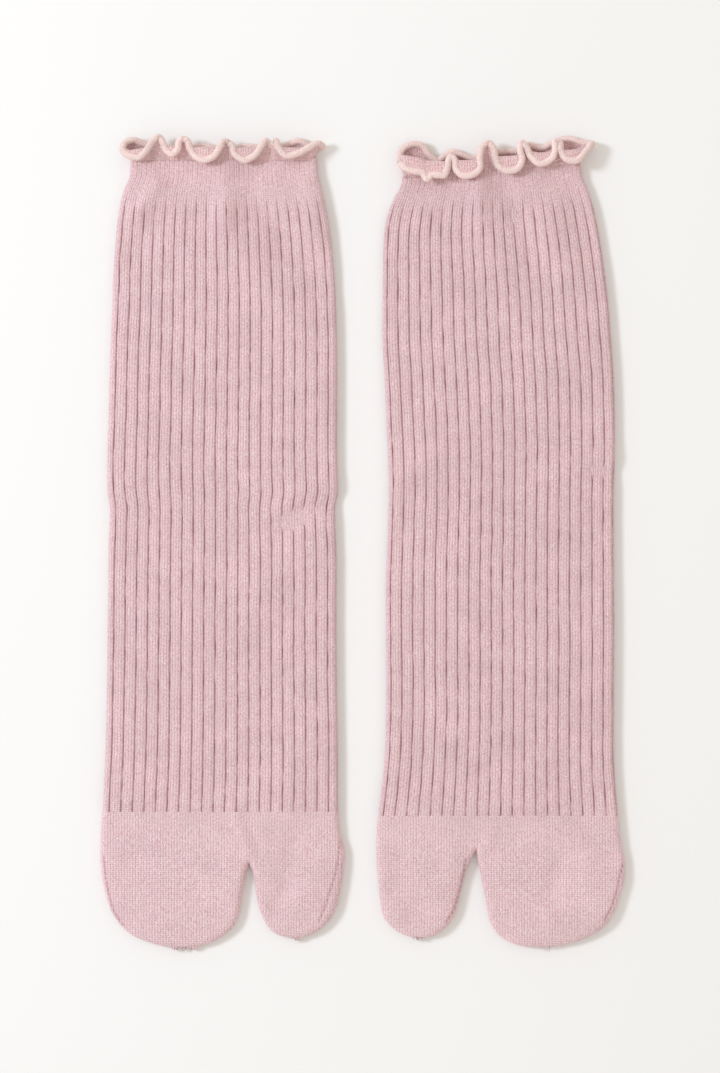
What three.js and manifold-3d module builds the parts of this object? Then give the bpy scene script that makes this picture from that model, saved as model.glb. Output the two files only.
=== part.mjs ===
// A pair of split-toe (tabi) socks laid flat side by side, toes towards -Y, cuffs towards +Y.
// Millimetres, +Z up, resting on the plane z = 0.
// Each sock is knitted cloth: a ribbed leg tube, a plain toe with two pockets, a narrow
// elastic cuff and a wavy ruffle with a rolled edge round the mouth.

import * as THREE from "three";
import { mergeVertices } from "three/addons/utils/BufferGeometryUtils.js";
import Module from "manifold-3d";

const wasm = await Module();
wasm.setup();

// ---- driving sizes ----

const wall = 2.0; // one layer of stretchy knit
const pressedGap = 0.5; // the space left inside a sock that lies flat
const layHeight = 2 * wall + pressedGap; // the two layers lying on each other
const sideRound = layHeight / 2; // how far the rolled sides reach in
const seamGap = 0.3; // clearance from piece to piece
const endStep = 0.4; // a pocket's inside ends this much short of its wall at the tip
const tipBlunt = 0.3; // and its rounded tip stops this much short of a knife edge

const tubePoints = { top: 14, side: 3, bottom: 6 }; // points of a section of leg or cuff
const pocketPoints = { top: 9, side: 3, bottom: 4 }; // and of a toe pocket

const flange = 1.4; // thickness of the ruffle's cloth
const flangeReach = 7.8; // length of cloth from the mouth to the rolled edge
const bead = 1.05; // radius of the rolled edge
const ruffleSteps = 52; // sections round each mouth
const footClearance = 1.2; // the ruffle's foot starts this far above the cuff
const endCurl = 0.6; // how far the ruffle turns outwards at the two sides of the mouth
const edgeLean = 0.35; // how much its sections lean with the waves of the rolled edge

const knitPink = 0xdfb9bd;
const plainPink = 0xe2bdc2;
const cuffPink = 0xdbb4b6;
const edgePink = 0xebd1cc;

// ---- the two socks ----
// Every row is one section across the sock: "at" is its place along the sock, "left" and
// "right" are the edges and "slope" is the rise of that section per millimetre across.

const rightFoot = {
  name: "right_foot",
  place: -54,
  cuff: [
    { at: 147.2, left: -35.6, right: 36.6, slope: 0 },
    { at: 144.2, left: -35.6, right: 36.8, slope: 0 },
    { at: 141.0, left: -35.8, right: 37.1, slope: 0 },
    { at: 136.9, left: -37.6, right: 38.2, slope: 0 },
  ],
  leg: [
    { at: 131.9, left: -39.2, right: 39.4, slope: 0 },
    { at: 126.1, left: -40.3, right: 40.6, slope: 0 },
    { at: 118.4, left: -41.1, right: 41.7, slope: 0 },
    { at: 108.8, left: -41.9, right: 42.8, slope: 0 },
    { at: 97.2, left: -42.4, right: 43.6, slope: 0 },
    { at: 84.0, left: -42.9, right: 44.1, slope: 0 },
    { at: 68.0, left: -43.5, right: 44.3, slope: 0 },
    { at: 50.0, left: -44.0, right: 44.3, slope: 0 },
    { at: 32.0, left: -44.5, right: 44.3, slope: 0 },
    { at: 20.0, left: -44.4, right: 44.7, slope: 0 },
    { at: 12.5, left: -43.4, right: 43.6, slope: 0 },
    { at: -2.1, left: -44.0, right: 44.0, slope: 0 },
    { at: -28.7, left: -44.3, right: 44.0, slope: 0 },
    { at: -56.0, left: -44.7, right: 44.2, slope: 0 },
    { at: -82.0, left: -45.3, right: 44.6, slope: 0 },
    { at: -103.5, left: -46.3, right: 44.6, slope: 0 },
  ],
  outerPocket: [
    { at: -103.8, left: -46.3, right: 12.0 },
    { at: -111.8, left: -46.9, right: 12.0 },
    { at: -117.2, left: -47.1, right: 11.6 },
    { at: -124.5, left: -47.0, right: 10.2 },
    { at: -131.0, left: -46.2, right: 8.4 },
    { at: -137.5, left: -44.5, right: 7.2 },
    { at: -143.4, left: -42.4, right: 6.2 },
    { at: -148.4, left: -38.6, right: 4.2 },
    { at: -152.0, left: -33.6, right: 0.4 },
    { at: -154.6, left: -26.7, right: -4.8 },
    { at: -156.0, left: -19.5, right: -10.5 },
  ],
  bigToePocket: [
    { at: -103.8, left: 6.0, right: 44.6 },
    { at: -112.6, left: 8.0, right: 45.3 },
    { at: -121.1, left: 10.2, right: 47.1 },
    { at: -129.6, left: 12.5, right: 46.3 },
    { at: -136.1, left: 13.3, right: 45.1 },
    { at: -142.3, left: 14.6, right: 43.3 },
    { at: -147.0, left: 16.9, right: 40.0 },
    { at: -150.4, left: 20.6, right: 35.6 },
    { at: -152.2, left: 24.6, right: 30.0 },
  ],
  // Ridges of the upper layer, from one end (x, y) to the other (toX, toY).
  folds: [
    { x: -25, y: 137, toX: -33, toY: 127, width: 3.5, height: 1.7 },
    { x: 1.5, y: 137, toX: 1.0, toY: 124, width: 4.5, height: 2.1 },
    { x: 1.0, y: 124, toX: 12, toY: 108, width: 5.5, height: 1.7 },
    { x: 12, y: 108, toX: 29, toY: 84, width: 8.0, height: 1.3 },
    { x: 33, y: 137, toX: 36, toY: 118, width: 4.0, height: 1.5 },
    { x: -41, y: 21, toX: -30, toY: 14, width: 6.0, height: 1.0 },
    { x: 40, y: 21, toX: 22, toY: 16, width: 5.0, height: 0.9 },
    { x: 6, y: -108, toX: 10, toY: -120, width: 4.0, height: 0.9 },
  ],
  // The ruffle's rolled edge: "foot" is where that stretch leaves the mouth.
  ruffleFront: [
    { foot: -33.6, x: -38.2, y: 151.4, z: 4.6 },
    { foot: -30.5, x: -34.0, y: 148.7, z: 6.6 },
    { foot: -24.8, x: -24.6, y: 155.0, z: 5.2 },
    { foot: -19.4, x: -19.5, y: 149.5, z: 7.3 },
    { foot: -14.6, x: -14.6, y: 154.4, z: 5.4 },
    { foot: -6.8, x: -6.8, y: 146.9, z: 7.6 },
    { foot: 1.6, x: 1.8, y: 153.0, z: 5.6 },
    { foot: 9.0, x: 8.8, y: 147.1, z: 7.6 },
    { foot: 18.0, x: 18.4, y: 153.8, z: 5.4 },
    { foot: 25.4, x: 25.2, y: 148.8, z: 7.4 },
    { foot: 31.0, x: 31.6, y: 151.2, z: 6.2 },
    { foot: 34.6, x: 37.6, y: 153.8, z: 4.4 },
  ],
  ruffleBack: [
    { foot: 30.0, x: 30.5, y: 154.6, z: 1.9 },
    { foot: 20.0, x: 20.0, y: 151.8, z: 1.3 },
    { foot: 9.0, x: 9.0, y: 152.6, z: 1.7 },
    { foot: -2.0, x: -2.0, y: 151.4, z: 1.3 },
    { foot: -12.0, x: -12.0, y: 152.8, z: 1.6 },
    { foot: -22.0, x: -22.5, y: 151.6, z: 1.3 },
    { foot: -31.0, x: -33.0, y: 154.4, z: 1.9 },
  ],
};

const leftFoot = {
  name: "left_foot",
  place: 53,
  cuff: [
    { at: 143.4, left: -37.8, right: 31.3, slope: 0.075 },
    { at: 141.2, left: -37.9, right: 31.5, slope: 0.066 },
    { at: 138.8, left: -38.5, right: 31.9, slope: 0.054 },
    { at: 136.1, left: -39.9, right: 33.3, slope: 0.043 },
  ],
  leg: [
    { at: 129.9, left: -42.6, right: 35.6, slope: 0.03 },
    { at: 122.4, left: -44.3, right: 37.5, slope: 0.015 },
    { at: 112.5, left: -45.0, right: 39.3, slope: 0 },
    { at: 103.0, left: -45.1, right: 40.6, slope: 0 },
    { at: 92.0, left: -45.3, right: 41.9, slope: 0 },
    { at: 78.7, left: -45.3, right: 42.9, slope: 0 },
    { at: 64.0, left: -44.5, right: 44.0, slope: 0 },
    { at: 48.0, left: -43.8, right: 44.4, slope: 0 },
    { at: 32.0, left: -43.1, right: 44.4, slope: 0 },
    { at: 20.0, left: -42.9, right: 44.0, slope: 0 },
    { at: 7.0, left: -43.2, right: 44.0, slope: 0 },
    { at: -12.0, left: -43.9, right: 44.1, slope: 0 },
    { at: -38.0, left: -43.9, right: 44.2, slope: 0 },
    { at: -64.0, left: -43.8, right: 44.0, slope: 0 },
    { at: -86.0, left: -44.7, right: 44.2, slope: 0 },
    { at: -105.0, left: -46.9, right: 45.6, slope: 0 },
  ],
  outerPocket: [
    { at: -105.3, left: -13.0, right: 45.6 },
    { at: -112.0, left: -12.0, right: 46.2 },
    { at: -117.5, left: -10.4, right: 47.1 },
    { at: -123.5, left: -8.3, right: 48.1 },
    { at: -130.0, left: -7.0, right: 48.0 },
    { at: -137.0, left: -5.6, right: 46.1 },
    { at: -143.4, left: -4.4, right: 43.6 },
    { at: -148.6, left: -2.6, right: 40.0 },
    { at: -152.2, left: 0.6, right: 35.6 },
    { at: -154.8, left: 5.4, right: 26.4 },
    { at: -156.0, left: 10.8, right: 19.6 },
  ],
  bigToePocket: [
    { at: -105.3, left: -46.9, right: -5.6 },
    { at: -112.6, left: -47.4, right: -7.2 },
    { at: -119.5, left: -47.7, right: -9.4 },
    { at: -126.1, left: -47.3, right: -12.8 },
    { at: -132.5, left: -46.8, right: -14.7 },
    { at: -138.4, left: -46.1, right: -16.0 },
    { at: -143.6, left: -45.0, right: -17.7 },
    { at: -148.0, left: -42.0, right: -20.8 },
    { at: -151.0, left: -37.4, right: -25.2 },
    { at: -152.3, left: -33.0, right: -28.0 },
  ],
  folds: [
    { x: -8.5, y: 136, toX: -8.0, toY: 124, width: 4.0, height: 2.1 },
    { x: -22, y: 136, toX: -28, toY: 124, width: 4.5, height: 1.4 },
    { x: 13, y: 136, toX: 22, toY: 106, width: 6.5, height: 1.5 },
    { x: 28, y: 136, toX: 35, toY: 122, width: 3.5, height: 1.0 },
    { x: -41, y: 20, toX: -22, toY: 36, width: 6.0, height: 1.0 },
    { x: -22, y: 36, toX: 12, toY: 39, width: 7.0, height: 0.7 },
    { x: 41, y: 33, toX: 34, toY: 36, width: 4.5, height: 0.9 },
    { x: 31, y: -122, toX: 40, toY: -142, width: 6.0, height: 0.8 },
  ],
  ruffleFront: [
    { foot: -36.0, x: -37.6, y: 145.4, z: 4.8 },
    { foot: -33.0, x: -34.0, y: 143.2, z: 6.6 },
    { foot: -28.0, x: -28.4, y: 140.4, z: 7.4 },
    { foot: -22.6, x: -22.4, y: 141.4, z: 7.4 },
    { foot: -18.9, x: -18.9, y: 147.4, z: 5.8 },
    { foot: -13.6, x: -13.6, y: 141.4, z: 7.6 },
    { foot: -5.6, x: -6.2, y: 152.4, z: 5.0 },
    { foot: 0.2, x: 0.2, y: 142.4, z: 7.6 },
    { foot: 5.0, x: 5.0, y: 152.2, z: 5.0 },
    { foot: 12.2, x: 12.3, y: 145.4, z: 7.8 },
    { foot: 17.6, x: 17.9, y: 153.4, z: 5.2 },
    { foot: 25.0, x: 25.3, y: 146.2, z: 7.8 },
    { foot: 29.6, x: 33.0, y: 152.6, z: 4.6 },
  ],
  ruffleBack: [
    { foot: 25.6, x: 26.8, y: 155.2, z: 1.9 },
    { foot: 15.0, x: 15.4, y: 153.4, z: 1.4 },
    { foot: 7.0, x: 7.4, y: 152.2, z: 1.7 },
    { foot: -2.0, x: -2.0, y: 149.8, z: 1.3 },
    { foot: -12.0, x: -12.0, y: 148.6, z: 1.6 },
    { foot: -20.0, x: -20.4, y: 149.6, z: 1.4 },
    { foot: -30.0, x: -30.6, y: 152.2, z: 2.0 },
  ],
};

// ---- sections of cloth ----

// How far (x, y) is from the line that a fold runs along.
function distanceToFold(fold, x, y) {
  const alongX = fold.toX - fold.x;
  const alongY = fold.toY - fold.y;
  const lengthSquared = alongX ** 2 + alongY ** 2;
  const share = ((x - fold.x) * alongX + (y - fold.y) * alongY) / lengthSquared;
  const t = THREE.MathUtils.clamp(share, 0, 1);
  return Math.hypot(x - fold.x - t * alongX, y - fold.y - t * alongY);
}

// Height of the upper face over the resting plane: the two layers plus the highest fold there.
function upperFace(folds, x, y) {
  const rises = folds.map(
    (fold) => fold.height * Math.exp(-((distanceToFold(fold, x, y) / fold.width) ** 2)),
  );
  return layHeight + Math.max(0, ...rises);
}

// One closed loop round a flat section, "inset" inside its outer face, "squash" flattening it
// towards mid-height: over the top from left to right, down, back underneath, and up.
function sectionLoop(row, folds, inset, points, squash = 1) {
  const slope = row.slope ?? 0;
  const middle = layHeight / 2;
  const from = row.left + sideRound;
  const to = row.right - sideRound;
  const point = (x, z) =>
    new THREE.Vector3(x, row.at + slope * x, middle + (z - middle) * squash);
  const upper = (x) => upperFace(folds, x, row.at + slope * x) - inset;
  const side = (centreX, outwards, angle) => {
    const highest = upper(centreX);
    const half = (highest - inset) / 2;
    const z = inset + half + half * Math.sin(angle);
    return point(centreX + outwards * (sideRound - inset) * Math.cos(angle), z);
  };
  const loop = [];
  for (let i = 0; i < points.top; i += 1) {
    const x = THREE.MathUtils.lerp(from, to, i / (points.top - 1));
    loop.push(point(x, upper(x)));
  }
  for (let i = 1; i <= points.side; i += 1) {
    loop.push(side(to, 1, Math.PI * (0.5 - i / (points.side + 1))));
  }
  for (let i = 0; i < points.bottom; i += 1) {
    loop.push(point(THREE.MathUtils.lerp(to, from, i / (points.bottom - 1)), inset));
  }
  for (let i = 1; i <= points.side; i += 1) {
    loop.push(side(from, -1, Math.PI * (-0.5 + i / (points.side + 1))));
  }
  return loop;
}

// The row that continues the last one of a neighbouring piece across the seam.
function acrossSeam(rows) {
  const last = rows[rows.length - 1];
  return { ...last, at: last.at - seamGap };
}

// Triangles between two loops of equal count; each quad faces out when "next" lies further
// towards -Y than "loop".
function bridge(triangles, loop, next) {
  loop.forEach((a, i) => {
    const j = (i + 1) % loop.length;
    triangles.push(a, next[i], next[j], a, next[j], loop[j]);
  });
}

function geometryFrom(triangles) {
  const geometry = new THREE.BufferGeometry().setFromPoints(triangles);
  return mergeVertices(geometry, 1e-4);
}

// An open tube of cloth through its sections, with its inner face and both rims.
function clothTube(rows, folds) {
  const outer = rows.map((row) => sectionLoop(row, folds, 0, tubePoints));
  const inner = rows.map((row) => sectionLoop(row, folds, wall, tubePoints));
  const triangles = [];
  const last = rows.length - 1;
  for (let k = 0; k < last; k += 1) {
    bridge(triangles, outer[k], outer[k + 1]);
    bridge(triangles, inner[k + 1], inner[k]);
  }
  bridge(triangles, inner[0], outer[0]);
  bridge(triangles, outer[last], inner[last]);
  return geometryFrom(triangles);
}

// ---- the toe ----

// A closed flat form through its sections, its tip rounded over the last few millimetres.
function pocketForm(rows, folds, inset) {
  const tip = rows[rows.length - 1].at - tipBlunt;
  const loops = rows.map((row) => {
    const short = THREE.MathUtils.clamp((row.at - tip) / sideRound, 0, 1);
    const squash = Math.sqrt(1 - (1 - short) ** 2);
    return sectionLoop(row, folds, inset, pocketPoints, squash);
  });
  const triangles = [];
  for (let k = 0; k < loops.length - 1; k += 1) {
    bridge(triangles, loops[k], loops[k + 1]);
  }
  const middleOf = (loop) => {
    const sum = loop.reduce((total, p) => total.add(p), new THREE.Vector3());
    return sum.divideScalar(loop.length);
  };
  const start = middleOf(loops[0]);
  bridge(triangles, loops[0].map(() => start), loops[0]);
  const finish = loops[loops.length - 1];
  const end = middleOf(finish);
  bridge(triangles, finish, finish.map(() => end));
  return geometryFrom(triangles);
}

// The edges of a pocket at "at", straight from row to row.
function edgesAt(rows, at) {
  const next = Math.max(1, rows.findIndex((row) => row.at <= at));
  const [a, b] = [rows[next - 1], rows[next]];
  const t = (a.at - at) / (a.at - b.at);
  const { lerp } = THREE.MathUtils;
  return { at, left: lerp(a.left, b.left, t), right: lerp(a.right, b.right, t) };
}

// The rows of the space inside a pocket. It starts above the toe line, so the toe is open
// towards the leg, and everywhere it keeps a wall short of the outline ahead of it.
function hollowRows(rows) {
  const first = rows[0];
  const finish = rows[rows.length - 1].at + wall + endStep;
  const places = rows.map((row) => row.at).filter((at) => at > finish + endStep);
  const inside = [...places, finish].map((at) => {
    const here = edgesAt(rows, at);
    const ahead = edgesAt(rows, at - wall);
    const left = Math.max(here.left, ahead.left - wall);
    return { at, left, right: Math.min(here.right, ahead.right + wall) };
  });
  return [{ ...first, at: first.at + wall }, ...inside];
}

// Faces that a bridge squeezed to nothing are dropped, so that what is left is one closed body.
function solidFrom(geometry) {
  const { index } = geometry;
  const kept = [];
  for (let i = 0; i < index.count; i += 3) {
    const [a, b, c] = [index.getX(i), index.getX(i + 1), index.getX(i + 2)];
    if (a !== b && b !== c && c !== a) {
      kept.push(a, b, c);
    }
  }
  return new wasm.Manifold(
    new wasm.Mesh({
      numProp: 3,
      vertProperties: new Float32Array(geometry.attributes.position.array),
      triVerts: new Uint32Array(kept),
    }),
  );
}

function geometryOf(solid) {
  const mesh = solid.getMesh();
  const geometry = new THREE.BufferGeometry();
  geometry.setAttribute("position", new THREE.BufferAttribute(mesh.vertProperties, 3));
  geometry.setIndex(new THREE.BufferAttribute(mesh.triVerts, 1));
  return geometry;
}

// The two pockets joined above the crotch, with their insides taken out.
function toeCloth(sock) {
  const { folds } = sock;
  const { at } = acrossSeam(sock.leg);
  const outerPocket = [{ ...sock.outerPocket[0], at }, ...sock.outerPocket.slice(1)];
  const bigToePocket = [{ ...sock.bigToePocket[0], at }, ...sock.bigToePocket.slice(1)];
  const skin = (rows) => solidFrom(pocketForm(rows, folds, 0));
  const space = (rows) => solidFrom(pocketForm(hollowRows(rows), folds, wall));
  const outside = skin(outerPocket).add(skin(bigToePocket));
  const inside = space(outerPocket).add(space(bigToePocket));
  return geometryOf(outside.subtract(inside));
}

// ---- the ruffle ----

// Where the ruffle's foot stands on the mouth: on the front layer, the back layer or a side.
function footPoint(sock, foot, height) {
  const mouth = sock.cuff[0];
  return new THREE.Vector3(foot, mouth.at + mouth.slope * foot + footClearance, height);
}

// One section of the ruffle from its foot to its rolled edge, over a crest that keeps the
// cloth's length.
function ruffleSection(foot, edge, along, archShare) {
  const straight = edge.clone().sub(foot);
  const half = straight.length() / 2;
  const crestHeight = archShare * Math.sqrt(Math.max((flangeReach / 2) ** 2 - half ** 2, 0));
  const lift = new THREE.Vector3(0, straight.z, -straight.y).normalize();
  if (lift.y + lift.z < 0) {
    lift.negate();
  }
  const crest = foot.clone().add(edge).multiplyScalar(0.5).addScaledVector(lift, crestHeight);
  const rise = crest.clone().sub(foot).normalize();
  const fall = edge.clone().sub(crest).normalize();
  const across = (direction) => new THREE.Vector3().crossVectors(direction, along).normalize();
  const riseSide = across(rise);
  const fallSide = across(fall);
  const crestSide = riseSide.clone().add(fallSide).normalize();
  const neck = edge.clone().addScaledVector(fall, -bead);
  return [
    foot.clone().addScaledVector(riseSide, flange / 2),
    crest.clone().addScaledVector(crestSide, flange / 2),
    neck.clone().addScaledVector(fallSide, flange / 2),
    edge.clone().addScaledVector(fallSide, bead),
    edge.clone().addScaledVector(fall, bead),
    edge.clone().addScaledVector(fallSide, -bead),
    neck.clone().addScaledVector(fallSide, -flange / 2),
    crest.clone().addScaledVector(crestSide, -flange / 2),
    foot.clone().addScaledVector(riseSide, -flange / 2),
  ];
}

function ruffleCloth(sock) {
  const mouth = sock.cuff[0];
  const frontHeight = layHeight - wall / 2;
  const backHeight = wall / 2;
  const onMouth = [
    ...sock.ruffleFront.map((row) => footPoint(sock, row.foot, frontHeight)),
    footPoint(sock, mouth.right - wall / 2, layHeight / 2),
    ...sock.ruffleBack.map((row) => footPoint(sock, row.foot, backHeight)),
    footPoint(sock, mouth.left + wall / 2, layHeight / 2),
  ];
  const rows = [...sock.ruffleFront, ...sock.ruffleBack];
  const ends = {
    right: sock.ruffleFront[sock.ruffleFront.length - 1],
    left: sock.ruffleFront[0],
  };
  const edges = rows.map((row) => new THREE.Vector3(row.x, row.y, row.z));
  const turn = (end, outwards) =>
    new THREE.Vector3(end.x + outwards * endCurl, end.y + endCurl, layHeight / 2 + endCurl);
  edges.splice(sock.ruffleFront.length, 0, turn(ends.right, 1));
  edges.push(turn(ends.left, -1));
  const footCurve = new THREE.CatmullRomCurve3(onMouth, true, "centripetal");
  const edgeCurve = new THREE.CatmullRomCurve3(edges, true, "centripetal");
  const sections = [];
  for (let i = 0; i < ruffleSteps; i += 1) {
    const t = i / ruffleSteps;
    const foot = footCurve.getPoint(t);
    const along = footCurve.getTangent(t).lerp(edgeCurve.getTangent(t), edgeLean).normalize();
    const isFront = THREE.MathUtils.smoothstep(foot.z, layHeight / 2, frontHeight);
    sections.push(ruffleSection(foot, edgeCurve.getPoint(t), along, isFront));
  }
  const triangles = [];
  sections.forEach((section, i) => {
    bridge(triangles, sections[(i + 1) % sections.length], section);
  });
  return geometryFrom(triangles);
}

// ---- the pair ----

function clothMaterial(color, roughness) {
  return new THREE.MeshStandardMaterial({ color, roughness, metalness: 0 });
}

function addPiece(group, name, geometry, material) {
  const mesh = new THREE.Mesh(geometry, material);
  mesh.name = name;
  group.add(mesh);
}

function sockGroup(sock) {
  const group = new THREE.Group();
  group.position.x = sock.place;
  const ribKnit = clothMaterial(knitPink, 0.95);
  const plainKnit = clothMaterial(plainPink, 0.95);
  const cuffKnit = clothMaterial(cuffPink, 0.92);
  const rolledEdge = clothMaterial(edgePink, 0.85);
  const legRows = [acrossSeam(sock.cuff), ...sock.leg];
  addPiece(group, `${sock.name}_leg`, clothTube(legRows, sock.folds), ribKnit);
  addPiece(group, `${sock.name}_toe`, toeCloth(sock), plainKnit);
  addPiece(group, `${sock.name}_cuff`, clothTube(sock.cuff, sock.folds), cuffKnit);
  addPiece(group, `${sock.name}_ruffle`, ruffleCloth(sock), rolledEdge);
  return group;
}

// The origin is the middle of the pair's underside.
const pair = new THREE.Group();
pair.add(sockGroup(rightFoot), sockGroup(leftFoot));
const extent = new THREE.Box3().setFromObject(pair);
const middle = extent.getCenter(new THREE.Vector3());
pair.position.set(-middle.x, -middle.y, -extent.min.z);

export default pair;
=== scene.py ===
import math

import bpy
import numpy as np
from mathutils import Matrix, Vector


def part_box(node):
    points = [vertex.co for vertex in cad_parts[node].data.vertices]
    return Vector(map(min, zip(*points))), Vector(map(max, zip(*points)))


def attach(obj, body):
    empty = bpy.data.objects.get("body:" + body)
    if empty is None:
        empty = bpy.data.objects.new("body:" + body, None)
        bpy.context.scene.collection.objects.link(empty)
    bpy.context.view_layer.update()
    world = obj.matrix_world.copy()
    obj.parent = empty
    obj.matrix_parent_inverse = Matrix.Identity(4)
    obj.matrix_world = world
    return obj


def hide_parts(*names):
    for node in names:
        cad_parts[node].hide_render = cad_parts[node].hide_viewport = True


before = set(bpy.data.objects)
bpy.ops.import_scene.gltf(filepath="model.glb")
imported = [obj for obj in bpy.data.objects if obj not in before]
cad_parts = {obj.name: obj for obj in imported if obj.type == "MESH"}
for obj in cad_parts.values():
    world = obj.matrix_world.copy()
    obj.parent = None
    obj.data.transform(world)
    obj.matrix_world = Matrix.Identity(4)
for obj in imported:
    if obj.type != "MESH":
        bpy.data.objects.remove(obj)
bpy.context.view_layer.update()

# Two tabi socks lying flat: a ribbed leg, a plain two-pocket toe, a fine-ribbed cuff and a frill
# with a rolled edge. Tables are in millimetres from the middle of each sock.

mm = 0.001
wale = 1.07  # width of a column of stitches
course = 0.76  # height of a row of stitches
layHeight = 4.5  # two layers of knit on each other
sideRound = 2.25  # radius of the rolled sides
shellWall = 1.25  # thickness of one layer

for ob in bpy.context.selected_objects:
    ob.select_set(False)


# ---------- the two socks ----------

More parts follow.
